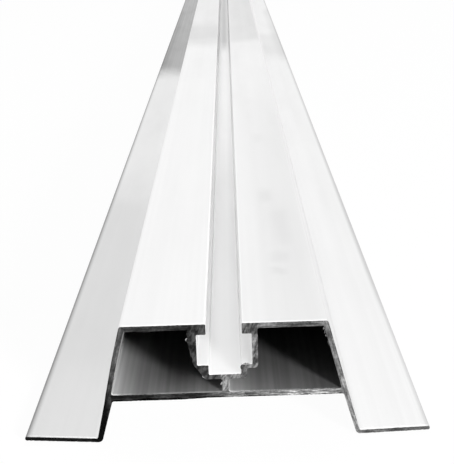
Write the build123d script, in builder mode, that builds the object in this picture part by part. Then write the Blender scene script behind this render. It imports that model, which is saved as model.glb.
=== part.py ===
"""Solar mounting rail: one aluminium extrusion with a hat section, sold by the length.

A flat top plate carries a lipped channel for M8 hex bolts. Two leaning side walls stand on
flat flanges that are screwed to the roof. A floor between the walls closes a hollow chamber
on each side of the channel, and a short web props the channel on the floor.

The rail lies along Y. The origin is at the middle of its length, centred between the flanges
and level with their undersides. Sizes are in millimetres.
"""

import math
import os

from build123d import *

# Overall sizes
rail_length = 1200.0
overall_width = 100.0
overall_height = 30.5
top_width = 50.2

# Flanges and walls
flange_width = 17.3
flange_thickness = 1.0
side_wall_thickness = 1.3
top_plate_thickness = 1.35
floor_thickness = 1.4

# Bolt channel, for a hex head 13 mm across flats on an M8 shank
slot_width = 8.7
lip_thickness = 2.7
channel_width = 13.4
channel_clear_height = 8.0
channel_wall_thickness = 1.4
channel_shelf_thickness = 1.0
well_width = 7.9
well_depth = 2.5
well_wall_thickness = 1.4
well_floor_thickness = 1.2

# Web under the channel
web_thickness = 1.5
web_height = 3.5

# Corner radii that the die leaves along the rail
top_corner_radius = 0.7
flange_tip_radius = 0.4
foot_inner_radius = 1.2
foot_root_radius = 0.5
floor_root_radius = 0.5
lip_edge_radius = 0.25
channel_corner_radius = 0.3
chamber_corner_radius = 0.5
channel_outer_radius = 1.0
well_root_radius = 0.6

# Heights above the roof, worked down from the top face
top_plate_underside = overall_height - top_plate_thickness
lip_underside = overall_height - lip_thickness
channel_floor_level = lip_underside - channel_clear_height
shelf_underside = channel_floor_level - channel_shelf_thickness
well_floor_level = channel_floor_level - well_depth
well_underside = well_floor_level - well_floor_thickness
floor_level = well_underside - web_height
floor_underside = floor_level - floor_thickness

# Half widths from the middle plane
half_overall = overall_width / 2
half_top = top_width / 2
half_foot = half_overall - flange_width
half_channel_outside = channel_width / 2 + channel_wall_thickness
half_well_outside = well_width / 2 + well_wall_thickness
half_web = web_thickness / 2

# Lean of the side walls: how far a wall moves outwards for each millimetre down
wall_lean = (half_foot - half_top) / (overall_height - flange_thickness)
wall_width_across = side_wall_thickness * math.hypot(1, wall_lean)


def wall_outside(level):
    """Half width over the outer faces of the side walls at a height above the roof."""
    return half_top + wall_lean * (overall_height - level)


def wall_inside(level):
    """Half width between the inner faces of the side walls at a height above the roof."""
    return wall_outside(level) - wall_width_across


def corners_at(sketch, *points):
    """The sketch's corners that lie at the given points of the section, and at their mirror images."""
    wanted = [(sign * x, level) for x, level in points for sign in (-1, 1)]
    return sketch.vertices().filter_by(
        lambda corner: any(math.dist((corner.X, corner.Y), point) < 1e-4 for point in wanted)
    )


# Corners of the hat outline on the right of the middle plane, from the top face round to the floor
top_corner = (half_top, overall_height)
foot_root = (half_foot, flange_thickness)
flange_tip_top = (half_overall, flange_thickness)
flange_tip_bottom = (half_overall, 0)
foot_inner_corner = (wall_inside(0), 0)
floor_root = (wall_inside(floor_underside), floor_underside)

# Corners of the right-hand chamber, clockwise from its top left
chamber_top_inner = (half_channel_outside, top_plate_underside)
chamber_top_outer = (wall_inside(top_plate_underside), top_plate_underside)
chamber_floor_outer = (wall_inside(floor_level), floor_level)
chamber_web_foot = (half_web, floor_level)
chamber_web_head = (half_web, well_underside)
well_outer_corner = (half_well_outside, well_underside)
well_root = (half_well_outside, shelf_underside)
channel_outer_corner = (half_channel_outside, shelf_underside)

# Corners of the channel on the right of the middle plane
lip_top_edge = (slot_width / 2, overall_height)
lip_bottom_edge = (slot_width / 2, lip_underside)
channel_top_corner = (channel_width / 2, lip_underside)
channel_floor_corner = (channel_width / 2, channel_floor_level)
well_top_edge = (well_width / 2, channel_floor_level)
well_floor_corner = (well_width / 2, well_floor_level)

with BuildPart() as rail:
    with BuildSketch(Plane.XZ) as section:
        # Hat outline, filled: top plate, leaning walls, flanges and the floor between the walls
        with BuildLine():
            Polyline(
                (0, overall_height),
                top_corner,
                foot_root,
                flange_tip_top,
                flange_tip_bottom,
                foot_inner_corner,
                floor_root,
                (0, floor_underside),
            )
            mirror(about=Plane.YZ)
        make_face()

        # Chamber on each side of the channel
        with BuildSketch(mode=Mode.PRIVATE) as chamber:
            with BuildLine():
                Polyline(
                    chamber_top_inner,
                    chamber_top_outer,
                    chamber_floor_outer,
                    chamber_web_foot,
                    chamber_web_head,
                    well_outer_corner,
                    well_root,
                    channel_outer_corner,
                    close=True,
                )
            make_face()
        add(chamber.sketch, mode=Mode.SUBTRACT)
        add(chamber.sketch.mirror(Plane.YZ), mode=Mode.SUBTRACT)

        # Bolt channel: the slot between the lips, the space for the head, and the well for the tip
        with Locations((0, lip_underside)):
            Rectangle(slot_width, lip_thickness, align=(Align.CENTER, Align.MIN), mode=Mode.SUBTRACT)
        with Locations((0, channel_floor_level)):
            Rectangle(
                channel_width, channel_clear_height, align=(Align.CENTER, Align.MIN), mode=Mode.SUBTRACT
            )
            Rectangle(well_width, well_depth, align=(Align.CENTER, Align.MAX), mode=Mode.SUBTRACT)

        # Radii of the hat outline
        fillet(corners_at(section, top_corner), top_corner_radius)
        fillet(corners_at(section, flange_tip_top, flange_tip_bottom), flange_tip_radius)
        fillet(corners_at(section, foot_inner_corner), foot_inner_radius)
        fillet(corners_at(section, foot_root), foot_root_radius)
        fillet(corners_at(section, floor_root), floor_root_radius)

        # Radii of the chambers
        fillet(
            corners_at(
                section,
                chamber_top_inner,
                chamber_top_outer,
                chamber_floor_outer,
                chamber_web_foot,
                chamber_web_head,
            ),
            chamber_corner_radius,
        )
        fillet(corners_at(section, channel_outer_corner, well_outer_corner), channel_outer_radius)
        fillet(corners_at(section, well_root), well_root_radius)

        # Radii of the bolt channel
        fillet(corners_at(section, lip_top_edge, lip_bottom_edge, well_top_edge), lip_edge_radius)
        fillet(
            corners_at(section, channel_top_corner, channel_floor_corner, well_floor_corner),
            channel_corner_radius,
        )
    extrude(amount=rail_length / 2, both=True)

rail.part.label = "rail"
os.makedirs("parts", exist_ok=True)
export_step(rail.part, "parts/rail.step")
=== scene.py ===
"""Solar mounting rail: its mill-finished skin, sawn ends with burrs, and a plain pale studio.

Everything is in metres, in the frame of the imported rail. The rail lies along Y with its flanges on
the plane Z = 0, and the sawn end nearest the camera is the one at the lowest Y.
"""

import logging
import math
from collections.abc import Iterable
from dataclasses import dataclass
from enum import Enum
from functools import reduce

import bmesh
import bpy
import numpy as np
from mathutils import Matrix, Vector
from mathutils.geometry import delaunay_2d_cdt
from numpy.typing import NDArray

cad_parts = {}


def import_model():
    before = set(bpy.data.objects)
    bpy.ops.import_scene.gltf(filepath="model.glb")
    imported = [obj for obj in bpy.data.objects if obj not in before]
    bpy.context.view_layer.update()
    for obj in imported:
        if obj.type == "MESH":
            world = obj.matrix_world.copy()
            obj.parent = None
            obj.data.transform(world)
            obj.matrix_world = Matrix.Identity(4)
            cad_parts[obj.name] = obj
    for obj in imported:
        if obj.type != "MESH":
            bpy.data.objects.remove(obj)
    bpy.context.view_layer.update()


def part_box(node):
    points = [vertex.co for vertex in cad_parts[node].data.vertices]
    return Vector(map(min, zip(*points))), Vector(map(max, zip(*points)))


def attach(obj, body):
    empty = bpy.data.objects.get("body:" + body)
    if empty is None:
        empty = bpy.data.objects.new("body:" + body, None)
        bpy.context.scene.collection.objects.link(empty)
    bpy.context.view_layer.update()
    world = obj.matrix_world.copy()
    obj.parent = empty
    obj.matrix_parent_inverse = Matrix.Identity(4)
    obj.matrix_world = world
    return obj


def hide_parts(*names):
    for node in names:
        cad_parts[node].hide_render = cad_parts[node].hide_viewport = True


Floats = NDArray[np.float64]
Ints = NDArray[np.int64]
Socket = bpy.types.NodeSocket
Pair = tuple[float, float]
Triple = tuple[float, float, float]

MM = 0.001
WELD = 1e-4 * MM
MOST_OF_NOISE = (0.25, 0.75)
NODE = "rail"
BODY = "root"

log = logging.getLogger("rail")


class RailEnd(Enum):
    """The two sawn ends, each with the direction along Y in which it faces."""

    FRONT = -1
    BACK = 1


class Side(Enum):
    """The two sides of the middle plane, each with its direction along X."""

    LEFT = -1
    RIGHT = 1


class Finish(Enum):
    """The material slots of the rail's mesh, in their order."""

    SKIN = 0
    CHAMBER = 1
    SAWN = 2


class BurrFinish(Enum):
    """Slots of the burrs' mesh, in order: the cut's painted shade, and the metal painted bright as lit.
    """

    GREY = 0
    LIT = 1


def wandering(
    x: Floats, y: Floats, shortest: float, longest: float, seed: int, waves: int = 24
) -> Floats:
    """A smooth random field over two coordinates.

    It is the mean of sines whose directions and phases are random, and whose wavelengths are spread
    evenly by ratio between the shortest and the longest, scaled to swing about -1 to 1.

    Args:
        x: First coordinate of each point.
        y: Second coordinate of each point, of the same shape.
        shortest: Shortest wavelength, in the units of the coordinates.
        longest: Longest wavelength.
        seed: Seed of the random numbers.
        waves: Number of sines.

    Returns:
        The field at each point.
    """
    rng = np.random.default_rng(seed)
    turn = rng.uniform(0, 2 * np.pi, waves)
    wave_number = 2 * np.pi / (shortest * (longest / shortest) ** rng.uniform(0, 1, waves))
    phase = rng.uniform(0, 2 * np.pi, waves)
    along = np.multiply.outer(x, wave_number * np.cos(turn))
    along += np.multiply.outer(y, wave_number * np.sin(turn))
    return np.sin(along + phase).mean(axis=-1) * math.sqrt(waves / 2)


def eased(value: Floats) -> Floats:
    """Smooth steps from 0 to 1 over values from 0 to 1: 3 v squared less 2 v cubed."""
    held = np.clip(value, 0, 1)
    return held**2 * (3 - 2 * held)


def rounded(corners: Floats, steps: int) -> Floats:
    """Rounds a closed outline's corners.

    Each corner becomes an arc that touches both of its edges. The arc's centre lies on the line that
    halves the corner, and its points come from turning the first touching radius into the second by
    equal angles.

    Args:
        corners: One row for each corner: x, z and radius.
        steps: Number of points on each arc.

    Returns:
        The outline's points, one row of x and z for each.
    """
    corner, radius = corners[:, :2], corners[:, 2:]
    to_last = np.roll(corner, 1, axis=0) - corner
    to_next = np.roll(corner, -1, axis=0) - corner
    to_last /= np.linalg.norm(to_last, axis=1, keepdims=True)
    to_next /= np.linalg.norm(to_next, axis=1, keepdims=True)
    half = np.arccos(np.sum(to_last * to_next, axis=1, keepdims=True)) / 2
    halving = to_last + to_next
    halving /= np.linalg.norm(halving, axis=1, keepdims=True)
    centre = corner + halving * radius / np.sin(half)
    first = corner + to_last * radius / np.tan(half) - centre
    second = corner + to_next * radius / np.tan(half) - centre
    turned = np.pi - 2 * half
    part = np.linspace(0, 1, steps)[None, :, None]
    turned, first, second = turned[:, None, :], first[:, None, :], second[:, None, :]
    arc = (np.sin((1 - part) * turned) * first + np.sin(part * turned) * second) / np.sin(turned)
    return (centre[:, None, :] + arc).reshape(-1, 2)


def divided(points: Floats, longest: float) -> Floats:
    """Divides the edges of a closed outline evenly, so that none is longer than a limit.

    Args:
        points: The outline's points, one row of x and z for each.
        longest: Longest edge allowed.

    Returns:
        The old points with the new ones between them.
    """
    step = np.roll(points, -1, axis=0) - points
    pieces = np.maximum(1, np.ceil(np.linalg.norm(step, axis=1) / longest)).astype(int)
    first = np.repeat(points, pieces, axis=0)
    stride = np.repeat(step / pieces[:, None], pieces, axis=0)
    count = np.arange(pieces.sum()) - np.repeat(np.cumsum(pieces) - pieces, pieces)
    return first + stride * count[:, None]


def rightward(points: Floats) -> Floats:
    """Unit normals on the right of a closed outline, from the points before and after each.

    Args:
        points: The outline's points, one row of x and z for each.

    Returns:
        One normal for each point.
    """
    along = np.roll(points, -1, axis=0) - np.roll(points, 1, axis=0)
    along /= np.linalg.norm(along, axis=1, keepdims=True)
    return np.stack([along[:, 1], -along[:, 0]], axis=1)


def enclosed(points: Floats, outlines: list[Floats], block_size: int = 4096) -> NDArray[np.bool_]:
    """Tells which points lie inside a shape with holes.

    A point is inside if a ray from it towards higher x crosses the outlines an odd number of times.

    Args:
        points: One row of x and z for each point.
        outlines: The closed outlines of the shape and of its holes.
        block_size: About how many points are tested at a time.

    Returns:
        True for each point inside.
    """
    start = np.concatenate(outlines)
    end = np.concatenate([np.roll(outline, -1, axis=0) for outline in outlines])
    across, up = (end - start).T
    slope = across / np.where(up == 0, np.inf, up)
    odd = []
    for block in np.array_split(points, max(1, len(points) // block_size)):
        x, z = block[:, :1], block[:, 1:]
        spans = (start[:, 1] > z) != (end[:, 1] > z)
        crossing = start[:, 0] + (z - start[:, 1]) * slope
        odd.append((spans & (x < crossing)).sum(axis=1) % 2 == 1)
    return np.concatenate(odd)


def ring_quads(rows: int, columns: int) -> Ints:
    """The quads between neighbouring rows of a grid of points whose rows close into rings.

    Args:
        rows: Number of rows.
        columns: Number of points in each row.

    Returns:
        Four point numbers for each quad.
    """
    here = np.arange(rows * columns).reshape(rows, columns)
    there = np.roll(here, -1, axis=1)
    return np.stack([here[:-1], there[:-1], there[1:], here[1:]], axis=2).reshape(-1, 4)


@dataclass(frozen=True)
class Sheet:
    """Part of a mesh: its points, its faces as rows of their numbers, and the faces' look."""

    points: Floats
    faces: Ints
    finish: Finish | BurrFinish
    smooth: bool


def mesh_object(name: str, sheets: list[Sheet], turn_outwards: bool = False) -> bpy.types.Object:
    """Makes a mesh object from whole arrays and welds the seams between its sheets.

    Args:
        name: The object's name.
        sheets: The parts of the mesh.
        turn_outwards: Whether the faces of closed parts still have to be turned outwards.

    Returns:
        The object, linked to the scene.
    """
    mesh = bpy.data.meshes.new(name)
    points = np.concatenate([sheet.points for sheet in sheets])
    starts = np.cumsum([0] + [len(sheet.points) for sheet in sheets])
    corners = np.concatenate([(sheet.faces + start).ravel() for sheet, start in zip(sheets, starts)])
    sizes, finishes, smooth = np.concatenate([
        np.tile([[sheet.faces.shape[1]], [sheet.finish.value], [sheet.smooth]], len(sheet.faces))
        for sheet in sheets
    ], axis=1).astype(np.int32)
    mesh.vertices.add(len(points))
    mesh.vertices.foreach_set("co", points.astype(np.float32).ravel())
    mesh.loops.add(len(corners))
    mesh.loops.foreach_set("vertex_index", corners.astype(np.int32))
    mesh.polygons.add(len(sizes))
    mesh.polygons.foreach_set("loop_start", (np.cumsum(sizes) - sizes).astype(np.int32))
    mesh.polygons.foreach_set("material_index", finishes)
    mesh.polygons.foreach_set("use_smooth", smooth.astype(bool))
    mesh.update(calc_edges=True)
    work = bmesh.new()
    work.from_mesh(mesh)
    bmesh.ops.remove_doubles(work, verts=work.verts, dist=WELD)
    if turn_outwards:
        bmesh.ops.recalc_face_normals(work, faces=work.faces)
    work.to_mesh(mesh)
    work.free()
    mesh.validate()
    piece = bpy.data.objects.new(name, mesh)
    bpy.context.scene.collection.objects.link(piece)
    return piece


@dataclass(frozen=True)
class BentFoot:
    """How one leg, its flange and the floor beside it differ from the straight shape.

    Attributes:
        side: Which side it is on.
        inward: How far the leg is bent in at its foot.
        stouter_root: How much thicker the leg is where it meets the floor.
        stouter_foot: How much thicker it is at its foot.
        root_rise: How far the flange is lifted where it meets the leg.
        tip_rise: How far its tip is lifted.
        thinner: How much thinner the flange is.
        floor_sag: How far the floor's underside hangs beside the well.
    """

    side: Side
    inward: float = 0.0
    stouter_root: float = 0.0
    stouter_foot: float = 0.0
    root_rise: float = 0.0
    tip_rise: float = 0.0
    thinner: float = 0.0
    floor_sag: float = 0.0


@dataclass(frozen=True)
class RailSection:
    """Sizes of the rail's section. The outlines run clockwise as seen from the front end.

    The slanting corner is where the saw tore off the channel's lower left corner: x to the left, z and
    radius of each point, from the well's underside upwards.
    """

    half_width: float
    height: float
    half_top: float = 25.1 * MM
    flange_width: float = 17.3 * MM
    flange_thickness: float = 1.0 * MM
    side_wall: float = 1.3 * MM
    top_plate: float = 1.35 * MM
    floor_plate: float = 1.4 * MM
    half_slot: float = 4.35 * MM
    lip: float = 2.7 * MM
    half_channel: float = 6.7 * MM
    channel_clear: float = 8.0 * MM
    channel_wall: float = 1.4 * MM
    shelf: float = 1.0 * MM
    half_well: float = 3.95 * MM
    well_depth: float = 2.5 * MM
    well_wall: float = 1.4 * MM
    slanting_corner: tuple[Triple, ...] = (
        (4.85 * MM, 16.1 * MM, 0.5 * MM),
        (6.35 * MM, 18.3 * MM, 0.4 * MM),
        (7.8 * MM, 20.3 * MM, 0.8 * MM),
    )
    well_floor: float = 1.2 * MM
    half_web: float = 0.75 * MM
    web_height: float = 3.5 * MM
    top_radius: float = 0.7 * MM
    tip_radius: float = 0.4 * MM
    foot_inner_radius: float = 1.2 * MM
    root_radius: float = 0.5 * MM
    lip_radius: float = 0.25 * MM
    channel_radius: float = 0.3 * MM
    channel_outer_radius: float = 1.0 * MM
    well_root_radius: float = 0.6 * MM
    arc_steps: int = 6
    longest_edge: float = 0.5 * MM
    die_line_depth: float = 0.007 * MM
    die_line_shortest: float = 1.2 * MM
    die_line_longest: float = 9 * MM
    die_line_seed: int = 11
    bend_height: float = 8 * MM
    bend_top: float = 22 * MM
    bend_reach: float = 1.5
    stouter_reach: float = 3.0
    feet: tuple[BentFoot, ...] = (
        BentFoot(
            Side.LEFT,
            inward=0.67 * MM,
            stouter_root=0.6 * MM,
            stouter_foot=-0.02 * MM,
            tip_rise=1.1 * MM,
            floor_sag=0.27 * MM,
        ),
        BentFoot(
            Side.RIGHT,
            stouter_root=-0.08 * MM,
            stouter_foot=-0.38 * MM,
            root_rise=0.18 * MM,
            tip_rise=0.7 * MM,
            thinner=0.05 * MM,
        ),
    )

    @property
    def half_foot(self) -> float:
        """Half width over the side walls where they meet the flanges."""
        return self.half_width - self.flange_width

    @property
    def lean(self) -> float:
        """How far a side wall moves outwards for each metre down."""
        return (self.half_foot - self.half_top) / (self.height - self.flange_thickness)

    @property
    def lip_underside(self) -> float:
        """Level of the undersides of the lips."""
        return self.height - self.lip

    @property
    def channel_floor(self) -> float:
        """Level of the channel's floor."""
        return self.lip_underside - self.channel_clear

    @property
    def well_bottom(self) -> float:
        """Level of the bottom of the well."""
        return self.channel_floor - self.well_depth

    @property
    def chamber_floor(self) -> float:
        """Level of the floor of the chambers."""
        return self.well_bottom - self.well_floor - self.web_height

    @property
    def floor_underside(self) -> float:
        """Level of the underside of the floor."""
        return self.chamber_floor - self.floor_plate

    def wall_inside(self, level: float | Floats) -> float | Floats:
        """Half width between the side walls' inner faces at a level.

        Args:
            level: Height above the roof, or an array of heights.

        Returns:
            The distance from the middle plane.
        """
        across = self.side_wall * math.hypot(1, self.lean)
        return self.half_top + self.lean * (self.height - level) - across

    def finished(self, corners: list[Triple]) -> Floats:
        """Rounds and divides an outline and presses the shallow die lines into it.

        The die lines' depth is a wandering field over the section, moved so that it is never negative.

        Args:
            corners: x, z and radius of each corner.

        Returns:
            The outline's points.
        """
        points = self.bent(divided(rounded(np.array(corners), self.arc_steps), self.longest_edge))
        swing = wandering(*points.T, self.die_line_shortest, self.die_line_longest, self.die_line_seed)
        depth = self.die_line_depth * np.clip(0.5 + 0.5 * swing, 0, 1)
        return points + rightward(points) * depth[:, None]

    def bent(self, points: Floats) -> Floats:
        """Bends the feet.

        A leg moves inwards by 1 less its height over that of the bend's top, and less and less along
        the flange. Its inner face moves in further by how much stouter the leg is at that height, in
        proportion from foot to root, which fades out along the floor's underside. The flange rises
        from its root to its tip in proportion to the distance, and its underside by how much thinner
        it is too. The floor's underside sags over the stretch beside the well.

        Args:
            points: The straight outline's points.

        Returns:
            The bent outline's points.
        """
        moved = points.copy()
        for foot in self.feet:
            out, level = foot.side.value * points[:, 0], points[:, 1]
            along = np.clip((out - self.half_foot) / self.flange_width, 0, 1)
            beside = eased((out - self.half_foot) / self.bend_height + self.bend_reach)
            bend = 1 - np.clip(level / self.bend_top, 0, 1)
            under = eased((self.chamber_floor - level) / self.floor_plate)
            behind = (self.wall_inside(level) - out) / self.side_wall
            inner = eased(behind + 1) * np.clip(1 - behind / self.stouter_reach, 0, 1)
            share = np.clip(level / self.floor_underside, 0, 1)
            stouter = foot.stouter_foot + (foot.stouter_root - foot.stouter_foot) * share
            inwards = foot.inward * bend * (1 - along) + stouter * under * inner
            low = eased((self.bend_height - level) / self.bend_height)
            rise = foot.root_rise * low + (foot.tip_rise - foot.root_rise) * along
            rise += foot.thinner * np.clip(1 - level / self.flange_thickness, 0, 1)
            hanging = np.clip((out - self.half_well) / self.half_channel, 0, 1)
            sag = foot.floor_sag * under * share**2 * hanging
            moved[:, 0] -= foot.side.value * inwards * beside
            moved[:, 1] += rise * beside - sag
        return moved

    def outer(self) -> Floats:
        """The outline of the hat, which dips through the slot into the channel and the well.

        Returns:
            The outline's points.
        """
        right = [
            (self.half_well, self.well_bottom, self.channel_radius),
            (self.half_well, self.channel_floor, self.lip_radius),
            (self.half_channel, self.channel_floor, self.channel_radius),
            (self.half_channel, self.lip_underside, self.channel_radius),
            (self.half_slot, self.lip_underside, self.lip_radius),
            (self.half_slot, self.height, self.lip_radius),
            (self.half_top, self.height, self.top_radius),
            (self.half_foot, self.flange_thickness, self.root_radius),
            (self.half_width, self.flange_thickness, self.tip_radius),
            (self.half_width, 0, self.tip_radius),
            (self.wall_inside(0), 0, self.foot_inner_radius),
            (self.wall_inside(self.floor_underside), self.floor_underside, self.root_radius),
        ]
        return self.finished(right + [(-x, z, radius) for x, z, radius in reversed(right)])

    def chamber(self, side: Side) -> Floats:
        """The outline of the hollow chamber on one side, run so that the metal is on its right.

        Args:
            side: Which chamber.

        Returns:
            The outline's points.
        """
        plate_underside = self.height - self.top_plate
        channel_outside = self.half_channel + self.channel_wall
        well_outside = self.half_well + self.well_wall
        shelf_underside = self.channel_floor - self.shelf
        well_underside = self.well_bottom - self.well_floor
        square_step = [
            (well_outside, well_underside, self.channel_outer_radius),
            (well_outside, shelf_underside, self.well_root_radius),
            (channel_outside, shelf_underside, self.channel_outer_radius),
        ]
        clockwise = [
            (channel_outside, plate_underside, self.root_radius),
            (self.wall_inside(plate_underside), plate_underside, self.root_radius),
            (self.wall_inside(self.chamber_floor), self.chamber_floor, self.root_radius),
            (self.half_web, self.chamber_floor, self.root_radius),
            (self.half_web, well_underside, self.root_radius),
            *(self.slanting_corner if side is Side.LEFT else square_step),
        ]
        corners = [(side.value * x, z, radius) for x, z, radius in clockwise]
        return self.finished(corners if side is Side.LEFT else corners[::-1])


@dataclass(frozen=True)
class SawCut:
    """The face that the saw leaves: grooves on arcs about the blade's centre, tears and nicked edges."""

    seed: int
    blade_x: float = -135 * MM
    blade_z: float = 85 * MM
    pitch: float = 0.8 * MM
    groove: float = 0.07 * MM
    groove_bend: float = 2.2
    groove_waves: Pair = (4 * MM, 20 * MM)
    tear: float = 0.12 * MM
    tear_waves: Pair = (0.5 * MM, 2.5 * MM)
    nick: float = 0.45 * MM
    nick_waves: Pair = (2 * MM, 7 * MM)
    nick_level: float = 0.85
    spacing: float = 0.2 * MM

    def depth(self, x: Floats, z: Floats) -> Floats:
        """How deep the face lies behind the end plane.

        The grooves are a sine of the distance from the blade's centre, bent by a slow wander. A quicker
        wander adds the tears, and the few places where a slow field peaks are nicked.

        Args:
            x: Coordinate of each point across the rail.
            z: Height of each point.

        Returns:
            The depth at each point, never negative.
        """
        reach = np.hypot(x - self.blade_x, z - self.blade_z)
        bend = self.groove_bend * wandering(x, z, *self.groove_waves, self.seed)
        grooves = self.groove * (0.5 + 0.5 * np.sin(2 * np.pi * reach / self.pitch + bend))
        torn = np.clip(wandering(x, z, *self.tear_waves, self.seed + 1), 0, None)
        nicked = np.clip(wandering(x, z, *self.nick_waves, self.seed + 2) - self.nick_level, 0, None)
        return grooves + self.tear * torn + self.nick * nicked


@dataclass
class RailExtrusion:
    """The rail itself, as one closed mesh: the section carried along Y, closed by two sawn faces."""

    section: RailSection
    half_length: float
    cuts: dict[RailEnd, SawCut]
    stations: tuple[float, ...] = (1 * MM, 3 * MM, 10 * MM, 40 * MM, 130 * MM, 300 * MM)
    grid_margin: float = 0.45
    net_tolerance: float = 1e-6

    def __post_init__(self) -> None:
        """Works out the outlines once: the outer one, then those of the chambers."""
        self.outlines = [self.section.outer(), *(self.section.chamber(side) for side in Side)]

    def skin(self, outline: Floats) -> tuple[Floats, Ints]:
        """Carries one outline along the rail.

        The point for an outline point and a station is (x, y, z), where x and z are the outline's, and y
        is the station's. At the first and last station y is the end plane's less the saw's depth there.

        Args:
            outline: Points of the outline.

        Returns:
            The points, and the quads between neighbouring stations.
        """
        inner = np.array(self.stations)
        levels = np.concatenate([inner - self.half_length, [0.0], (self.half_length - inner)[::-1]])
        front = self.cuts[RailEnd.FRONT].depth(*outline.T) - self.half_length
        back = self.half_length - self.cuts[RailEnd.BACK].depth(*outline.T)
        y = np.vstack([front, np.repeat(levels[:, None], len(outline), axis=1), back])
        x, z = (np.broadcast_to(values, y.shape) for values in outline.T)
        return np.stack([x, y, z], axis=2).reshape(-1, 3), ring_quads(*y.shape)

    def net(self, spacing: float) -> tuple[Floats, Ints]:
        """Fills the section with a net of triangles.

        The net joins the outlines' points and those of an even grid that lie well inside the metal.

        Args:
            spacing: Distance between the grid's points.

        Returns:
            The net's points as x and z, and its triangles, turned so that they face the front.
        """
        ends = (self.outlines[0].min(axis=0), self.outlines[0].max(axis=0))
        axes = [np.arange(low, high, spacing) for low, high in zip(*ends)]
        grid = np.stack(np.meshgrid(*axes), axis=2).reshape(-1, 2)
        shifts = self.grid_margin * spacing * np.array([(0, 0), (1, 0), (-1, 0), (0, 1), (0, -1)])
        inside = np.all([enclosed(grid + shift, self.outlines) for shift in shifts], axis=0)
        lengths = [len(outline) for outline in self.outlines]
        rings = np.split(np.arange(sum(lengths)), np.cumsum(lengths)[:-1])
        edges = np.concatenate([np.stack([ring, np.roll(ring, -1)], axis=1) for ring in rings])
        given = [Vector(point) for point in np.concatenate([*self.outlines, grid[inside]]) / MM]
        made = delaunay_2d_cdt(given, edges.tolist(), [], 0, self.net_tolerance)
        points = np.array([tuple(point) for point in made[0]]) * MM
        triangles = np.array(made[2])
        triangles = triangles[enclosed(points[triangles].mean(axis=1), self.outlines)]
        first, second, third = points[triangles].transpose(1, 0, 2)
        turn = np.cross(second - first, third - first)
        triangles[turn < 0] = triangles[turn < 0][:, ::-1]
        return points, triangles

    def sawn_face(self, end: RailEnd, net: tuple[Floats, Ints]) -> tuple[Floats, Ints]:
        """Lays the net on a sawn end: y is the end plane's, less the saw's depth at x and z.

        Args:
            end: Which end.
            net: The net's points and triangles.

        Returns:
            The points in space, and the triangles, facing out of the rail.
        """
        flat, triangles = net
        y = end.value * (self.half_length - self.cuts[end].depth(*flat.T))
        points = np.stack([flat[:, 0], y, flat[:, 1]], axis=1)
        return points, triangles if end is RailEnd.FRONT else triangles[:, ::-1]

    def build(self) -> bpy.types.Object:
        """Builds the closed mesh.

        Returns:
            The rail, with its three material slots still empty.
        """
        net = self.net(self.cuts[RailEnd.FRONT].spacing)
        kinds = (Finish.SKIN, Finish.CHAMBER, Finish.CHAMBER)
        sheets = [Sheet(*self.skin(outline), kind, True) for outline, kind in zip(self.outlines, kinds)]
        sheets += [Sheet(*self.sawn_face(end, net), Finish.SAWN, False) for end in RailEnd]
        return mesh_object("rail_extrusion", sheets)


@dataclass(frozen=True)
class Burr:
    """One rag of metal on the edge of the cut. Sizes are in millimetres.

    Attributes:
        start: Where its root starts in the section.
        end: Where its root ends.
        out: Which way it sticks out.
        height: How far it sticks out at its highest.
        root: How far it reaches back into the metal.
        lead: Where along the root it is highest, from 0 to 1.
        thickness: How thick it is.
        curl: How far its tip curls out of the cut.
        finish: Its material slot.
    """

    start: Pair
    end: Pair
    out: Pair
    height: float
    root: float = 0.3
    lead: float = 0.5
    thickness: float = 0.25
    curl: float = 0.2
    finish: BurrFinish = BurrFinish.GREY


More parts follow.
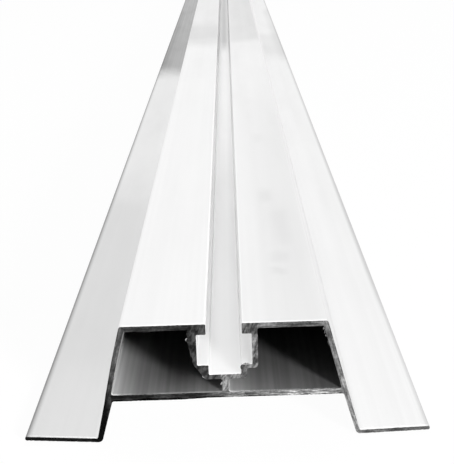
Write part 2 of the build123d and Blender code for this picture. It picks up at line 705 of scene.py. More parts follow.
@dataclass
class EdgeBurrs:
    """The rags that the saw leaves hanging round the openings of one end.

    Sizes are in millimetres, except for the rail's half length, which is in metres.
    """

    end: RailEnd
    half_length: float
    seed: int
    set_back: float = 0.45
    steps: int = 28
    round_steps: int = 12
    hump_power: float = 0.6
    ragged: float = 0.3
    rag_waves: Pair = (0.4, 2.0)
    tip_thinning: float = 0.7
    burrs: tuple[Burr, ...] = (
        # Burrs with the lit finish are painted bright, and the rest carry the cut's painted shade.
        Burr((-8.2, 29.2), (-7.95, 21.8), (-1, 0), 1.1, lead=0.25, thickness=0.5),
        Burr((-8.5, 27.0), (-8.5, 26.1), (-1, 0), 1.3, finish=BurrFinish.LIT),
        Burr((-7.6, 20.1), (-6.3, 18.4), (-0.8, -0.6), 0.2, lead=0.3),
        Burr((-5.6, 17.2), (-4.95, 16.3), (-0.8, -0.6), 0.3, finish=BurrFinish.LIT),
        Burr((-0.7, 15.2), (-0.7, 14.3), (-1, 0), 0.75, finish=BurrFinish.LIT),
        Burr((0.7, 15.4), (0.7, 13.4), (1, 0), 0.25, finish=BurrFinish.LIT),
        Burr((24.0, 28.7), (24.2, 28.0), (-1, -0.3), 0.4),
        Burr((24.2, 27.9), (24.5, 27.1), (-1, -0.4), 0.45, lead=0.6),
        Burr((24.5, 26.9), (24.7, 26.2), (-1, -0.2), 0.3, lead=0.4),
        Burr((24.9, 25.2), (25.3, 23.8), (-1, 0), 0.1),
        Burr((4.1, 19.9), (4.1, 17.4), (-1, 0), 0.4, thickness=0.4),
        Burr((6.2, 19.8), (4.4, 19.8), (0, 1), 0.3),
        Burr((-3.0, 16.9), (1.6, 16.9), (0, 1), 0.15),
        Burr((2.0, 12.6), (14.0, 12.6), (0, 1), 0.16, lead=0.3, finish=BurrFinish.LIT),
        Burr((14.5, 12.6), (27.5, 12.6), (0, 1), 0.14, lead=0.6, finish=BurrFinish.LIT),
        Burr((-26.8, 12.6), (-16.0, 12.6), (0, 1), 0.12),
        Burr((-28.7, 14.4), (-28.9, 12.9), (1, 0), 0.4),
        Burr((-21.5, 29.1), (-16.0, 29.1), (0, -1), 0.25),
    )

    def rag(self, burr: Burr, seed: int) -> tuple[Floats, Ints]:
        """Makes one closed burr.

        The point for a share s of the root and an angle a round the burr is start + s (end - start)
        + out (h r - root), set back from the end plane by the set-back, less curl r squared, plus half
        the thickness there times sin a. Here r = (1 - cos a) / 2 runs from the root to the tip, h is the
        height times a hump that peaks at the lead, roughened by a wander, and the hump closes both ends.

        Args:
            burr: The burr.
            seed: Seed of its roughness.

        Returns:
            The points in metres, and the quads.
        """
        share = np.linspace(0, 1, self.steps)
        angle = np.linspace(0, 2 * np.pi, self.round_steps, endpoint=False)
        power = math.log(0.5) / math.log(burr.lead)
        hump = np.sin(np.pi * share**power) ** self.hump_power
        hump[[0, -1]] = 0
        start, end, out = (np.array(place, dtype=float) for place in (burr.start, burr.end, burr.out))
        root_line = start + share[:, None] * (end - start)
        rough = 1 - self.ragged + self.ragged * wandering(*root_line.T, *self.rag_waves, seed)
        run = (1 - np.cos(angle)) / 2
        reach = hump[:, None] * (run * (burr.height * rough + burr.root)[:, None] - burr.root)
        flat = root_line[:, None, :] + reach[:, :, None] * (out / np.linalg.norm(out))
        bulge = burr.thickness / 2 * np.sin(angle) * (1 - self.tip_thinning * run)
        depth = self.set_back + hump[:, None] * (bulge - burr.curl * run**2)
        y = self.end.value * (self.half_length - depth * MM)
        points = np.stack([-self.end.value * flat[..., 0] * MM, y, flat[..., 1] * MM], axis=2)
        return points.reshape(-1, 3), ring_quads(*y.shape)

    def build(self) -> bpy.types.Object:
        """Builds all the burrs of the end as one mesh.

        Returns:
            The burrs, with their two material slots still empty.
        """
        rags = [self.rag(burr, self.seed + number) for number, burr in enumerate(self.burrs)]
        sheets = [Sheet(*rag, burr.finish, True) for rag, burr in zip(rags, self.burrs)]
        return mesh_object(f"{self.end.name.lower()}_burrs", sheets, turn_outwards=True)


class ShaderTree:
    """The node tree of one material or of the world, with short ways to add the usual nodes."""

    def __init__(self, owner: bpy.types.Material | bpy.types.World) -> None:
        """Empties the owner's node tree.

        Args:
            owner: The material or world that the tree belongs to.
        """
        owner.use_nodes = True
        self.owner = owner
        self.tree = owner.node_tree
        self.tree.nodes.clear()

    def add(
        self, kind: str, inputs: dict[str | int, object] | None = None, **settings: object
    ) -> bpy.types.Node:
        """Adds a node.

        Args:
            kind: The node's type, without its ShaderNode prefix.
            inputs: Values or sockets for the node's inputs.
            settings: Values for the node's own settings.

        Returns:
            The node.
        """
        node = self.tree.nodes.new("ShaderNode" + kind)
        for name, value in settings.items():
            setattr(node, name, value)
        for key, value in (inputs or {}).items():
            if isinstance(value, Socket):
                self.tree.links.new(value, node.inputs[key])
            else:
                node.inputs[key].default_value = value
        return node

    def maths(self, operation: str, first: object, second: object = 0.0) -> Socket:
        """Combines two numbers with a Math node and returns its output."""
        return self.add("Math", {0: first, 1: second}, operation=operation).outputs[0]

    def times(self, *factors: object) -> Socket:
        """The product of several numbers."""
        return reduce(lambda one, other: self.maths("MULTIPLY", one, other), factors)

    def magnitude(self, value: Socket) -> Socket:
        """A number without its sign."""
        return self.maths("ABSOLUTE", value)

    def position(self) -> tuple[Socket, Socket, Socket]:
        """The object's own coordinates X, Y and Z."""
        return tuple(self.add("SeparateXYZ", {0: self.add("TexCoord").outputs["Object"]}).outputs)

    def place(self, scale: Triple, where: Socket | None = None) -> Socket:
        """Scales coordinates.

        Args:
            scale: The factors along X, Y and Z.
            where: The coordinates, or None for the object's own.

        Returns:
            The scaled coordinates.
        """
        if where is None:
            where = self.add("TexCoord").outputs["Object"]
        return self.add("Mapping", {"Vector": where, "Scale": scale}).outputs[0]

    def spread(self, value: Socket, low: float, high: float, first: float, last: float) -> Socket:
        """Maps a range of values smoothly to another.

        Args:
            value: The value.
            low: Start of its range.
            high: End of its range.
            first: Result at the start and before it.
            last: Result at the end and past it.

        Returns:
            The result.
        """
        inputs = {0: value, 1: low, 2: high, 3: first, 4: last}
        return self.add("MapRange", inputs, interpolation_type="SMOOTHSTEP").outputs[0]

    def rises(self, value: Socket, low: float, high: float) -> Socket:
        """0 before a range of values, rising smoothly to 1 past it."""
        return self.spread(value, low, high, 0.0, 1.0)

    def falls(self, value: Socket, low: float, high: float) -> Socket:
        """1 before a range of values, falling smoothly to 0 past it."""
        return self.spread(value, low, high, 1.0, 0.0)

    def steps(self, value: Socket, stops: Iterable[Pair]) -> Socket:
        """Maps 0 to 1 through grey stops.

        Args:
            value: The value.
            stops: Position and grey value of each stop.

        Returns:
            The grey value.
        """
        ramp = self.add("ValToRGB", {0: value})
        stops = list(stops)
        while len(ramp.color_ramp.elements) < len(stops):
            ramp.color_ramp.elements.new(1.0)
        for element, (position, grey) in zip(ramp.color_ramp.elements, stops):
            element.position = position
            element.color = (grey, grey, grey, 1.0)
        return ramp.outputs[0]

    def graded(self, value: Socket, reach: float, tones: Iterable[Pair]) -> Socket:
        """Tones along a coordinate.

        Args:
            value: The coordinate, from minus the reach to the reach.
            reach: The coordinate's largest value.
            tones: Place in millimetres and tone of each stop.

        Returns:
            The tone.
        """
        share = self.maths("DIVIDE", self.maths("ADD", value, reach), 2 * reach)
        return self.steps(share, (((place * MM + reach) / (2 * reach), tone) for place, tone in tones))

    def blend(self, factor: object, first: object, second: object) -> Socket:
        """Mixes two numbers by a factor and returns the result."""
        return self.add("Mix", {0: factor, 2: first, 3: second}, data_type="FLOAT").outputs[0]

    def surface(self, tone: Socket, height: Socket, bump: Pair, inputs: dict[str, object]) -> None:
        """Ends a material's tree with a grey surface.

        Args:
            tone: The surface's grey value.
            height: Height of its relief, from 0 to 1.
            bump: The relief's strength and its depth.
            inputs: The surface's other inputs.
        """
        strength, depth = bump
        relief = self.add("Bump", {"Strength": strength, "Distance": depth, "Height": height})
        colour = self.add("CombineColor", {0: tone, 1: tone, 2: tone})
        inputs = {"Base Color": colour.outputs[0], "Normal": relief.outputs[0], **inputs}
        self.add("OutputMaterial", {0: self.add("BsdfPrincipled", inputs).outputs[0]})


@dataclass(frozen=True)
class Grain:
    """A noise and the values that it gives.

    Attributes:
        scale: How many features it has for each metre along X, Y and Z.
        detail: Octaves of finer noise.
        w: Place along the fourth axis, which tells one grain from another.
        reach: The range of the noise over which the value changes.
        values: The value at the start and at the end of that range.
        distortion: How far the pattern is bent.
    """

    scale: Triple
    detail: float
    w: float
    reach: Pair
    values: Pair
    distortion: float = 0.0

    def pattern(self, tree: ShaderTree, where: Socket | None = None) -> Socket:
        """The noise itself, about 0.5 on average.

        Args:
            tree: The node tree.
            where: The coordinates that it lies over, or None for the object's own.

        Returns:
            The noise.
        """
        inputs = {"Vector": tree.place(self.scale, where), "W": self.w, "Scale": 1.0}
        inputs |= {"Detail": self.detail, "Distortion": self.distortion}
        return tree.add("TexNoise", inputs, noise_dimensions="4D").outputs[0]

    def value(self, tree: ShaderTree, pattern: Socket) -> Socket:
        """The value that the noise gives."""
        return tree.spread(pattern, *self.reach, *self.values)


@dataclass(frozen=True)
class ShadeAndSmudge:
    """A stretch of skin made darker or lighter than the rest, as painted shade, painted light and
    smudges. Sizes are in millimetres.

    Attributes:
        across: Its reach across the rail.
        along: Its reach along the rail.
        tone: What it multiplies the skin's tone by.
        fade_across: Width of its fades across the rail.
        fade_along: Width of its fades along the rail.
    """

    across: Pair
    along: Pair
    tone: float
    fade_across: float = 1.0
    fade_along: float = 60.0

    def share(self, tree: ShaderTree, x: Socket, y: Socket) -> Socket:
        """1 in the middle of the smudge, falling smoothly to 0 past its borders."""
        across = self.between(tree, x, self.across, self.fade_across)
        return tree.times(across, self.between(tree, y, self.along, self.fade_along))

    def between(self, tree: ShaderTree, value: Socket, reach: Pair, fade: float) -> Socket:
        """1 where a value lies in a reach, with a fade centred on each of its borders.

        Args:
            tree: The node tree.
            value: The coordinate.
            reach: First and last border in millimetres.
            fade: Width of the fades in millimetres.

        Returns:
            The share.
        """
        first, last = reach
        begun = tree.rises(value, (first - fade / 2) * MM, (first + fade / 2) * MM)
        return tree.times(begun, tree.falls(value, (last - fade / 2) * MM, (last + fade / 2) * MM))


@dataclass(frozen=True)
class MillFinish:
    """Bright aluminium from the die, with faint lines along the rail, smudges and painted shade.

    The tones run from the left flange to the right one, by millimetres. They are painted light and
    shade: the left flange and the right of the top plate are painted darker, and painted shade runs
    along the flanges' outer edges. In the bolt channel the skin is painted lighter against the
    channel's shade, and the sizes named after the channel hold there.
    """

    section: RailSection
    half_length: float
    # Painted light and shade across the rail: the left flange, the right of the top plate and the
    # flanges' outer edges are painted darker.
    tones: tuple[Pair, ...] = (
        (-50, 0.24), (-49.5, 0.31), (-49.1, 0.58), (-48.3, 0.76), (-33, 0.77), (-32, 0.955), (4.6, 0.93),
        (12, 0.875), (24.3, 0.86), (25.2, 0.92), (33, 0.93), (48.2, 0.93), (49.2, 0.68), (50, 0.58),
    )
    brightest: float = 0.98
    roughness: float = 0.34
    roughness_swing: float = 0.05
    mottle_roughness: float = 0.06
    # Painted light: the channel's skin is painted lighter, against the shade in the channel.
    channel_painted_light: float = 0.98
    channel_roughness: float = 0.55
    far_channel_roughness: float = 0.3
    far_edge_roughness: float = 0.85
    far_reach: Pair = (-500 * MM, -220 * MM)
    mouth_metallic: float = 0.7
    mouth_reach: Pair = (45 * MM, 8 * MM)
    edge_metallic: float = 0.55
    edge_reach: Pair = (3.2 * MM, 3.7 * MM)
    wall_fade: float = 1 * MM
    lip_fade: float = 0.2 * MM
    top_fade: Pair = (0.4 * MM, 0.1 * MM)
    well_fade: Pair = (1 * MM, 0.1 * MM)
    bump: Pair = (0.25, 0.02 * MM)
    fine: Grain = Grain((900, 3, 900), 3, 0, (0.3, 0.7), (0.99, 1.008))
    broad: Grain = Grain((160, 1.2, 160), 2, 3, (0.3, 0.7), (0.985, 1.01))
    mottle: Grain = Grain((90, 14, 90), 3, 5, (0.35, 0.75), (1.0, 0.97))
    wander: Grain = Grain((55, 30, 55), 3, 8, MOST_OF_NOISE, (-8 * MM, 8 * MM))
    shade_and_smudges: tuple[ShadeAndSmudge, ...] = (
        # The long darker stretches over the far half, from Y = -85 mm on, are painted shade, and the
        # lighter stretches painted light; the small patches on the right of the top plate are smudges.
        ShadeAndSmudge((-52, -33), (-360, -30), 1.1, fade_along=90),
        ShadeAndSmudge((-52, -33), (-560, -385), 0.95, fade_along=50),
        ShadeAndSmudge((-52, -33), (-25, 620), 0.48, fade_along=75),
        ShadeAndSmudge((-52, -45), (-10, 420), 0.72, fade_across=7, fade_along=60),
        ShadeAndSmudge((-25, -4.6), (-85, 35), 0.8, fade_along=70),
        ShadeAndSmudge((-25, -4.6), (35, 620), 0.92, fade_along=70),
        ShadeAndSmudge((-3.4, 3.4), (-585, -350), 0.965, fade_across=0.8, fade_along=50),
        ShadeAndSmudge((-2.5, 2.5), (-10, 620), 0.53, fade_across=4.5, fade_along=90),
        ShadeAndSmudge((4.6, 25), (-78, 620), 0.87, fade_across=2, fade_along=45),
        ShadeAndSmudge((10, 25.5), (-300, -80), 1.07, fade_across=6, fade_along=260),
        ShadeAndSmudge((12, 21), (-590, -500), 0.975, fade_across=6, fade_along=60),
        ShadeAndSmudge((12.5, 16), (-406, -391), 0.965, fade_across=3, fade_along=12),
        ShadeAndSmudge((12, 16), (-492, -478), 0.945, fade_across=3, fade_along=12),
        ShadeAndSmudge((15, 20), (-535, -508), 0.965, fade_across=3, fade_along=14),
        ShadeAndSmudge((13, 18.5), (-553, -546), 0.955, fade_across=3, fade_along=6),
        ShadeAndSmudge((13, 17), (-570, -562), 0.945, fade_across=3, fade_along=5),
        ShadeAndSmudge((10.5, 14.5), (-599, -594), 0.96, fade_across=3, fade_along=4),
        ShadeAndSmudge((33, 52), (45, 185), 0.9, fade_along=60),
        ShadeAndSmudge((44, 52), (20, 420), 0.88, fade_across=6, fade_along=60),
        ShadeAndSmudge((48.5, 52), (-620, -520), 1.2, fade_across=0.8, fade_along=80),
    )

    def material(self) -> bpy.types.Material:
        """Builds the material.

        Returns:
            The material for the rail's outer skin.
        """
        tree = ShaderTree(bpy.data.materials.new("mill_finish"))
        x, y, z = tree.position()
        fine, broad, mottle = (grain.pattern(tree) for grain in (self.fine, self.broad, self.mottle))
        channel = self.channel_share(tree, x, z)
        across = tree.graded(x, self.section.half_width, self.tones)
        # The skin's tone: painted light and shade across the rail, grain, and painted shade and smudges
        # along it.
        tone = tree.times(
            tree.blend(channel, across, self.channel_painted_light),
            self.fine.value(tree, fine),
            self.broad.value(tree, broad),
            self.mottle.value(tree, mottle),
            self.painted_shade_and_smudges(tree, x, y),
        )
        edge = tree.rises(tree.magnitude(x), *self.edge_reach)
        inputs = {
            "Metallic": self.metallic(tree, y, channel, edge),
            "Roughness": self.rough(tree, y, channel, edge, (fine, mottle)),
        }
        tree.surface(tree.maths("MINIMUM", tone, self.brightest), fine, self.bump, inputs)
        return tree.owner

    def rough(
        self, tree: ShaderTree, y: Socket, channel: Socket, edge: Socket, patterns: tuple[Socket, Socket]
    ) -> Socket:
        """The roughness: duller in the channel near the front end, and on its edges further back.

        Args:
            tree: The node tree.
            y: Coordinate along the rail.
            channel: 1 inside the bolt channel.
            edge: 1 near the channel's edges, and 0 in its middle.
            patterns: The fine grain's noise and the mottle's.

        Returns:
            The roughness.
        """
        fine, mottle = patterns
        low, high = self.roughness - self.roughness_swing, self.roughness + self.roughness_swing
        outside = tree.maths(
            "ADD",
            tree.spread(fine, *MOST_OF_NOISE, low, high),
            tree.spread(mottle, *self.mottle.reach, 0.0, self.mottle_roughness),
        )
        middle, beside = (
            tree.spread(y, *self.far_reach, self.channel_roughness, far)
            for far in (self.far_channel_roughness, self.far_edge_roughness)
        )
        return tree.blend(channel, outside, tree.blend(edge, middle, beside))

    def metallic(self, tree: ShaderTree, y: Socket, channel: Socket, edge: Socket) -> Socket:
        """How metallic the skin is: less at the channel's mouths and on its edges.

        Args:
            tree: The node tree.
            y: Coordinate along the rail.
            channel: 1 inside the bolt channel.
            edge: 1 near the channel's edges, and 0 in its middle.

        Returns:
            The share of metal.
        """
        deep, near = self.mouth_reach
        mouth = tree.rises(tree.magnitude(y), self.half_length - deep, self.half_length - near)
        inside = tree.blend(mouth, tree.blend(edge, 1.0, self.edge_metallic), self.mouth_metallic)
        return tree.blend(channel, 1.0, inside)

    def channel_share(self, tree: ShaderTree, x: Socket, z: Socket) -> Socket:
        """1 inside the bolt channel and on the slot's edges, and 0 outside.

        Args:
            tree: The node tree.
            x: Coordinate across the rail.
            z: Height.

        Returns:
            The share.
        """
        section = self.section
        out = tree.magnitude(x)
        between = tree.falls(out, section.half_channel, section.half_channel + self.wall_fade)
        below = tree.falls(z, *(section.height - border for border in self.top_fade))
        above = tree.rises(z, *(section.well_bottom - border for border in self.well_fade))
        lips = section.half_slot + section.lip_radius
        edge = tree.falls(out, lips, lips + self.lip_fade)
        return tree.times(above, tree.maths("MAXIMUM", edge, tree.times(between, below)))

    def painted_shade_and_smudges(self, tree: ShaderTree, x: Socket, y: Socket) -> Socket:
        """The painted shade, painted light and smudges, their tones multiplied, with borders that wander
        a little along the rail.

        Args:
            tree: The node tree.
            x: Coordinate across the rail.
            y: Coordinate along the rail.

        Returns:
            The tone.
        """
        moved = tree.maths("ADD", y, self.wander.value(tree, self.wander.pattern(tree)))
        shares = ((stretch.share(tree, x, moved), stretch.tone) for stretch in self.shade_and_smudges)
        return tree.times(*(tree.blend(share, 1.0, tone) for share, tone in shares))


@dataclass(frozen=True)
class ChamberFinish:
    """The duller inside of the hollow chambers, with coarse lines along the rail and painted light.

    Its tone is painted light at the mouths, brighter on the left, that fades into painted shade
    deeper in, on the right, beside the channel on the left and under the top plate. The floor's
    tones, painted light and shade, run from left to right, by millimetres.
    """

    section: RailSection
    half_length: float
    # Painted shade deep inside each chamber.
    left_deep_painted_shade: float = 0.1
    right_deep_painted_shade: float = 0.13
    # Painted light on the left side wall at the mouth, and painted shade on the right one.
    left_wall_painted_light: float = 0.5
    right_wall_painted_shade: float = 0.12
    wall_fade: Pair = (0.5 * MM, 0.1 * MM)
    shade: float = 0.12
    shade_reach: Pair = (24 * MM, 26.5 * MM)
    left_fade: Pair = (5 * MM, 60 * MM)
    right_fade: Pair = (1 * MM, 28 * MM)
    # Painted shade beside the channel on the left: the painted light of the mouth fades out sooner
    # there.
    crowding: float = 4.8
    crowded_reach: Pair = (-22 * MM, -10 * MM)
    metallic: float = 0.3
    roughness: float = 0.6
    gloss: float = 0.1
    bump: Pair = (0.4, 0.03 * MM)
    lines: Grain = Grain((700, 4, 700), 4, 1, MOST_OF_NOISE, (0.85, 1.15))
    broad: Grain = Grain((220, 6, 220), 2, 2, (0.3, 0.7), (0.88, 1.1))
    # Painted light and shade over the floor at the mouths: lit on the left of each chamber, shaded
    # towards the right.
    floor_tones: tuple[Pair, ...] = (
        (-28.6, 0.7), (-25.4, 0.54), (-21.6, 0.33), (-18, 0.25), (-6, 0.26), (-1, 0.34), (0.9, 0.52),
        (2.7, 0.45), (8.2, 0.26), (16, 0.22), (28.6, 0.12),
    )

    def material(self) -> bpy.types.Material:
        """Builds the material.

        Returns:
            The material for the chambers' walls.
        """
        tree = ShaderTree(bpy.data.materials.new("chamber_finish"))
        x, y, z = tree.position()
        lines, broad = (grain.pattern(tree) for grain in (self.lines, self.broad))
        right = tree.maths("GREATER_THAN", x, 0.0)
        deep = tree.blend(right, self.left_deep_painted_shade, self.right_deep_painted_shade)
        # Painted light at the mouths fades into painted shade deeper in, times the grains.
        tone = tree.times(
            tree.blend(self.nearness(tree, right, x, y), deep, self.mouth_tone(tree, right, x, z)),
            self.lines.value(tree, lines),
            self.broad.value(tree, broad),
        )
        inputs = {
            "Metallic": self.metallic,
            "Roughness": self.roughness,
            "Specular IOR Level": self.gloss,
        }
        tree.surface(tone, lines, self.bump, inputs)
        return tree.owner

    def nearness(self, tree: ShaderTree, right: Socket, x: Socket, y: Socket) -> Socket:
        """1 at the mouths, where the light is painted, falling smoothly to 0 inwards, into painted
        shade, and sooner on the left beside the channel.

        Args:
            tree: The node tree.
            right: 1 in the right chamber, and 0 in the left one.
            x: Coordinate across the rail.
            y: Coordinate along the rail.

        Returns:
            The share.
        """
        crowded = tree.spread(x, *self.crowded_reach, 1.0, self.crowding)
        inwards = tree.maths("SUBTRACT", self.half_length, tree.magnitude(y))
        depth = tree.times(inwards, tree.blend(right, crowded, 1.0))
        left_share = tree.falls(depth, *self.left_fade)
        return tree.blend(right, left_share, tree.falls(depth, *self.right_fade))

    def mouth_tone(self, tree: ShaderTree, right: Socket, x: Socket, z: Socket) -> Socket:
        """Painted light and shade at the mouths: graded over the floor, its own on each side wall.

        Args:
            tree: The node tree.
            right: 1 in the right chamber, and 0 in the left one.
            x: Coordinate across the rail.
            z: Height.

        Returns:
            The tone, with painted shade under the top plate.
        """
        wall = tree.blend(right, self.left_wall_painted_light, self.right_wall_painted_shade)
        reach = tree.maths("ADD", tree.magnitude(x), tree.times(z, self.section.lean))
        foot = self.section.wall_inside(0.0)
        beside = tree.rises(reach, *(foot - border for border in self.wall_fade))
        tone = tree.blend(beside, tree.graded(x, self.section.half_width, self.floor_tones), wall)
        return tree.times(tone, tree.spread(z, *self.shade_reach, 1.0, self.shade))


@dataclass(frozen=True)
class SawnFinish:
    """The torn face of a saw cut: hatched round the channel, streaked elsewhere, in painted shade.

    Tones, painted shade darkest on the left, run from left to right, by millimetres; the brightest
    flecks add painted glints. The floor's layers run from its underside, 0, to its top, 1. The hatch
    is scaled along the arcs' reach and turn, the strips along and over the plates.
    """

    section: RailSection
    cut: SawCut
    roughness: float = 0.45
    floor_wobble: float = 0.35 * MM
    # Painted shade over the cut, darkest on the left leg and lighter towards the right.
    tones: tuple[Pair, ...] = (
        (-50, 0.009), (-34, 0.016), (-32.4, 0.006), (-29.4, 0.006), (-28, 0.07), (-25, 0.12),
        (-24.2, 0.06), (-9, 0.036), (-6.6, 0.055), (-4, 0.09), (-1.2, 0.09), (-0.8, 0.3), (0.6, 0.3),
        (0.9, 0.15), (4, 0.16), (12.6, 0.25), (17.4, 0.1), (23, 0.18), (28, 0.25), (31.5, 0.31),
        (33, 0.3), (34.5, 0.15), (50, 0.13),
    )
    # Painted shade over the floor's cut, lighter towards the right.
    floor_tones: tuple[Pair, ...] = (
        (-29, 0.018), (-19, 0.018), (-14.5, 0.06), (-12, 0.022), (-5, 0.045), (-0.8, 0.13), (1, 0.2),
        (7, 0.18), (16, 0.41), (24, 0.4), (29, 0.28),
    )
    floor_layers: tuple[Pair, ...] = (
        (0.0, 0.1), (0.12, 0.2), (0.24, 0.95), (0.36, 0.9), (0.5, 0.6), (0.68, 0.6), (0.85, 1.0),
        (1.0, 0.8),
    )
    floor_lift: float = 1.4
    floor_fade: Pair = (0.3 * MM, 0.5 * MM)
    lip_share: float = 0.7
    lip_fade: Pair = (-0.3 * MM, 0.1 * MM)
    side_fade: float = 0.4 * MM
    hatch_fade: float = 0.5 * MM
    hatch_foot: Pair = (0.2 * MM, 0.8 * MM)
    wall_fade: Pair = (-0.05 * MM, 0.1 * MM)
    flange_fade: float = 1 * MM
    bump: Pair = (0.4, 0.06 * MM)
    # Painted glints: the brightest flecks are added to the cut's colour.
    painted_glint_reach: Pair = (0.7, 0.8)
    painted_glint: float = 0.2
    flecks: Grain = Grain((1800, 1800, 1800), 2, 2, (0.35, 0.7), (0.85, 1.25))
    blots: Grain = Grain((220, 220, 420), 2, 3, (0.35, 0.65), (0.75, 1.3))
    hatch: Grain = Grain((1500, 60, 1), 2, 1, (0.38, 0.64), (0.45, 1.8), 0.15)
    strips: Grain = Grain((320, 9, 2300), 2, 6, (0.36, 0.66), (0.6, 1.6), 0.3)

    def material(self) -> bpy.types.Material:
        """Builds the material.

        Returns:
            The material for the sawn ends.
        """
        tree = ShaderTree(bpy.data.materials.new("sawn_finish"))
        x, _, z = tree.position()
        out = tree.magnitude(x)
        hatch = self.hatch.pattern(tree, self.arcs(tree, x, z))
        strips = self.strips.pattern(tree, self.plates(tree, x, out, z))
        flecks, blots = (grain.pattern(tree) for grain in (self.flecks, self.blots))
        streaks = tree.blend(
            self.round_channel(tree, out, z),
            self.strips.value(tree, strips),
            self.hatch.value(tree, hatch),
        )
        tone = tree.times(
            self.cut_painted_shade(tree, (x, out, z), blots),
            streaks,
            self.blots.value(tree, blots),
            self.flecks.value(tree, flecks),
        )
        # Painted glints on the brightest flecks.
        tone = tree.maths("ADD", tone, tree.spread(flecks, *self.painted_glint_reach, 0.0, self.painted_glint))
        tree.surface(tone, hatch, self.bump, {"Metallic": 1.0, "Roughness": self.roughness})
        return tree.owner

    def arcs(self, tree: ShaderTree, x: Socket, z: Socket) -> Socket:
        """Coordinates along and across the saw's arcs.

        Args:
            tree: The node tree.
            x: Coordinate across the rail.
            z: Height.

        Returns:
            Distance from the blade's centre, and the angle round it.
        """
        across = tree.maths("SUBTRACT", x, self.cut.blade_x)
        upward = tree.maths("SUBTRACT", z, self.cut.blade_z)
        squares = tree.maths("ADD", tree.times(across, across), tree.times(upward, upward))
        reach = tree.maths("SQRT", squares)
        return tree.add("CombineXYZ", {0: reach, 1: tree.maths("ARCTAN2", upward, across)}).outputs[0]

    def plates(self, tree: ShaderTree, x: Socket, out: Socket, z: Socket) -> Socket:
        """Coordinates along and over the plates, and along and over the side walls where they stand.

        Args:
            tree: The node tree.
            x: Coordinate across the rail.
            out: Distance from the middle plane.
            z: Height.

        Returns:
            Distance along, 1 where the metal stands upright, and distance over.
        """
        depth = tree.maths("ADD", out, tree.times(z, self.section.lean))
        foot = self.section.wall_inside(0.0)
        flange = self.section.flange_thickness
        upright = tree.times(
            tree.rises(depth, *(foot + border for border in self.wall_fade)),
            tree.rises(z, flange, flange + self.flange_fade),
        )
        inputs = {0: tree.blend(upright, x, z), 1: upright, 2: tree.blend(upright, z, depth)}
        return tree.add("CombineXYZ", inputs).outputs[0]

    def round_channel(self, tree: ShaderTree, out: Socket, z: Socket) -> Socket:
        """1 on the lips, the channel's walls and the web, and 0 on the rest of the cut.

        Args:
            tree: The node tree.
            out: Distance from the middle plane.
            z: Height.

        Returns:
            The share.
        """
        side = self.section.half_channel + self.section.channel_wall
        upper = tree.rises(z, *(self.section.chamber_floor + border for border in self.hatch_foot))
        return tree.times(tree.falls(out, side, side + self.hatch_fade), upper)

    def cut_painted_shade(self, tree: ShaderTree, where: tuple[Socket, Socket, Socket], wander: Socket) -> Socket:
        """The cut's mean tone, in painted shade: black on the left leg, grey over the top, and in layers
        on the floor.

        Args:
            tree: The node tree.
            where: Coordinate across the rail, distance from the middle plane, and height.
            wander: Noise that bends the floor's layers.

        Returns:
            The tone.
        """
        section = self.section
        x, out, z = where
        wobble = tree.spread(wander, *MOST_OF_NOISE, -self.floor_wobble, self.floor_wobble)
        height = tree.maths("SUBTRACT", tree.maths("ADD", z, wobble), section.floor_underside)
        layers = tree.steps(tree.maths("DIVIDE", height, section.floor_plate), self.floor_layers)
        floor = tree.times(layers, self.floor_lift, tree.graded(x, section.half_width, self.floor_tones))
        above, beside = self.floor_fade
        inside = section.wall_inside(section.chamber_floor)
        share = tree.times(
            tree.falls(z, section.chamber_floor, section.chamber_floor + above),
            tree.falls(out, inside - beside, inside),
        )
        side = section.half_channel + section.channel_wall
        beyond = tree.rises(x, side, side + self.side_fade)
        plain = tree.maths("MAXIMUM", beyond, tree.falls(x, 0.0, section.half_well))
        borders = (section.lip_underside + border for border in self.lip_fade)
        lip = tree.spread(z, *borders, 1.0, self.lip_share)
        over = tree.times(tree.blend(plain, lip, 1.0), tree.graded(x, section.half_width, self.tones))
        return tree.blend(share, over, floor)


@dataclass(frozen=True)
class LitTornFinish:
    """Torn metal painted bright, a lit copy of the burrs' metal, for burrs that the saw drags out."""

    roughness: float = 0.4
    bump: Pair = (0.6, 0.1 * MM)
    flecks: Grain = Grain((1800, 1800, 1800), 3, 4, (0.35, 0.62), (0.25, 0.95))

    def material(self) -> bpy.types.Material:
        """Builds the material.

        Returns:
            The material for the burrs.
        """
        tree = ShaderTree(bpy.data.materials.new("lit_torn_finish"))
        flecks = self.flecks.pattern(tree)
        inputs = {"Metallic": 1.0, "Roughness": self.roughness}
        tree.surface(self.flecks.value(tree, flecks), flecks, self.bump, inputs)
        return tree.owner


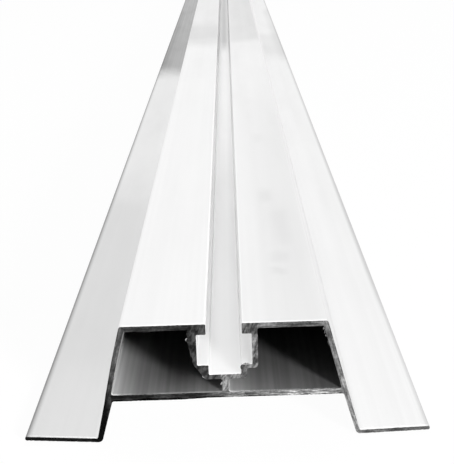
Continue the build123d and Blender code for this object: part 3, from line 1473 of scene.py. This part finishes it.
@dataclass(frozen=True)
class PhotoCamera:
    """The camera that sees the rail as the photograph does, from a fit to the sawn end's corners."""

    frame_width: int = 454
    frame_height: int = 464
    focal_pixels: float = 1075.2
    eye: Triple = (3.4 * MM, -838.56 * MM, 128.12 * MM)
    pitch: float = math.radians(17.378)
    yaw: float = math.radians(-0.422)
    roll: float = math.radians(-1.975)
    sensor: float = 36.0
    clip: Pair = (0.01, 100.0)

    def build(self) -> bpy.types.Object:
        """Builds the camera and makes it the scene's.

        Returns:
            The camera.
        """
        data = bpy.data.cameras.new("photo_camera")
        data.sensor_width = self.sensor
        data.lens = self.focal_pixels * self.sensor / max(self.frame_width, self.frame_height)
        data.clip_start, data.clip_end = self.clip
        forward = Vector((
            math.sin(self.yaw) * math.cos(self.pitch),
            math.cos(self.yaw) * math.cos(self.pitch),
            -math.sin(self.pitch),
        ))
        level = Vector((math.cos(self.yaw), -math.sin(self.yaw), 0))
        upward = level.cross(forward)
        right = math.cos(self.roll) * level + math.sin(self.roll) * upward
        up = math.cos(self.roll) * upward - math.sin(self.roll) * level
        camera = bpy.data.objects.new("photo_camera", data)
        turned = Matrix((right, up, -forward)).transposed()
        camera.matrix_world = Matrix.LocRotScale(Vector(self.eye), turned.to_quaternion(), None)
        bpy.context.scene.collection.objects.link(camera)
        bpy.context.scene.camera = camera
        return camera


@dataclass(frozen=True)
class Lamp:
    """A square soft lamp, aimed at the rail.

    Attributes:
        name: Its name.
        place: Where it hangs.
        size: Length of its sides.
        power: Its power in watts.
        aim: The point that it faces.
        mirrored: Whether shiny metal mirrors it.
    """

    name: str
    place: Triple
    size: float
    power: float
    aim: Triple = (0.0, 0.0, 0.0)
    mirrored: bool = True

    def build(self) -> bpy.types.Object:
        """Builds the lamp.

        Returns:
            The lamp.
        """
        data = bpy.data.lights.new(self.name, "AREA")
        data.size = self.size
        data.energy = self.power
        lamp = bpy.data.objects.new(self.name, data)
        lamp.location = self.place
        lamp.rotation_euler = (Vector(self.aim) - Vector(self.place)).to_track_quat("-Z", "Y").to_euler()
        lamp.visible_glossy = self.mirrored
        bpy.context.scene.collection.objects.link(lamp)
        return lamp


@dataclass(frozen=True)
class Studio:
    """A plain pale floor that meets a white surround, with soft lamps."""

    floor_half: float = 15.0
    floor_tone: float = 0.9
    floor_glow: float = 0.94
    near_level: float = 0.35
    side_level: float = 0.8
    far_level: float = 0.95
    top_level: float = 0.9
    grade_reach: Pair = (0.3, 0.95)
    shiny_lift: float = 0.4
    lamps: tuple[Lamp, ...] = (
        Lamp("overhead_lamp", (0.3, 0.5, 2.2), 2.0, 8.0),
        Lamp("end_lamp", (0.81, -1.89, 0.38), 0.25, 38.0, (0.0, -0.6, 0.02), mirrored=False),
    )

    def build(self) -> None:
        """Builds the floor, the world and the lamps."""
        self.floor()
        self.world()
        for lamp in self.lamps:
            lamp.build()

    def seen(self, tree: ShaderTree, shiny_share: float) -> Socket:
        """Tells the rays apart.

        Args:
            tree: The node tree.
            shiny_share: The value for the rays that gloss or glass sends.

        Returns:
            1 for the camera's rays, the share for those of gloss or glass, and 0 for the rest.
        """
        path = tree.add("LightPath").outputs
        shiny = tree.maths("MAXIMUM", path["Is Glossy Ray"], path["Is Transmission Ray"])
        return tree.maths("MAXIMUM", path["Is Camera Ray"], tree.times(shiny, shiny_share))

    def floor(self) -> None:
        """Builds the floor: a square whose paper glows a little for the camera and keeps the shadow."""
        signs = np.array([(-1, -1, 0), (1, -1, 0), (1, 1, 0), (-1, 1, 0)])
        square = Sheet(self.floor_half * signs, np.array([[0, 1, 2, 3]]), Finish.SKIN, False)
        floor = mesh_object("studio_floor", [square])
        tree = ShaderTree(bpy.data.materials.new("pale_paper"))
        paper = tree.add("BsdfDiffuse", {"Color": (*[self.floor_tone] * 3, 1)})
        glow = tree.add("Emission", {"Color": (1, 1, 1, 1), "Strength": 1.0})
        share = tree.times(self.seen(tree, 1.0), self.floor_glow)
        mix = tree.add("MixShader", {0: share, 1: paper.outputs[0], 2: glow.outputs[0]})
        tree.add("OutputMaterial", {0: mix.outputs[0]})
        floor.data.materials.append(tree.owner)

    def world(self) -> None:
        """Builds the surround: white to the camera, and softly graded for the rest.

        It is bright overhead and beyond the far end of the rail, a little dimmer on the two sides, and
        dimmest behind the camera. Gloss and glass see it lifted part of the way to the camera's white.
        """
        tree = ShaderTree(bpy.data.worlds.new("pale_surround"))
        bpy.context.scene.world = tree.owner
        way = tree.add("SeparateXYZ", {0: tree.add("TexCoord").outputs["Generated"]}).outputs
        beyond = tree.spread(way[1], *self.grade_reach, self.near_level, self.far_level)
        above = tree.spread(way[2], *self.grade_reach, 0.0, self.top_level)
        beside = tree.spread(tree.magnitude(way[0]), *self.grade_reach, 0.0, self.side_level)
        grade = tree.maths("MAXIMUM", beside, tree.maths("MAXIMUM", beyond, above))
        strength = tree.blend(self.seen(tree, self.shiny_lift), grade, 1.0)
        glow = tree.add("Background", {"Color": (1, 1, 1, 1), "Strength": strength})
        tree.add("OutputWorld", {0: glow.outputs[0]})


def main() -> None:
    """Builds the rail and its studio in order, and reports each piece."""
    logging.basicConfig(level=logging.INFO, format="%(name)s: %(message)s")
    bpy.context.scene.view_settings.view_transform = "Standard"
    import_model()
    low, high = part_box(NODE)
    half_length = (high.y - low.y) / 2
    section = RailSection(half_width=(high.x - low.x) / 2, height=high.z - low.z)
    cuts = {RailEnd.FRONT: SawCut(seed=3), RailEnd.BACK: SawCut(seed=41)}
    burr_seeds = {RailEnd.FRONT: 100, RailEnd.BACK: 300}

    PhotoCamera().build()
    log.info("camera in place")

    rail = RailExtrusion(section, half_length, cuts).build()
    mill = MillFinish(section, half_length).material()
    chamber = ChamberFinish(section, half_length).material()
    sawn = SawnFinish(section, cuts[RailEnd.FRONT]).material()
    for material in (mill, chamber, sawn):
        rail.data.materials.append(material)
    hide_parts(NODE)
    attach(rail, BODY)
    log.info("%s: %d faces", rail.name, len(rail.data.polygons))

    # The burrs' lit copy of the metal, painted bright.
    torn = LitTornFinish().material()
    for end, seed in burr_seeds.items():
        burrs = EdgeBurrs(end, half_length, seed).build()
        for material in (sawn, torn):
            burrs.data.materials.append(material)
        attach(burrs, BODY)
        log.info("%s: %d faces", burrs.name, len(burrs.data.polygons))

    Studio().build()
    log.info("studio in place")


if __name__ == "__main__":
    main()
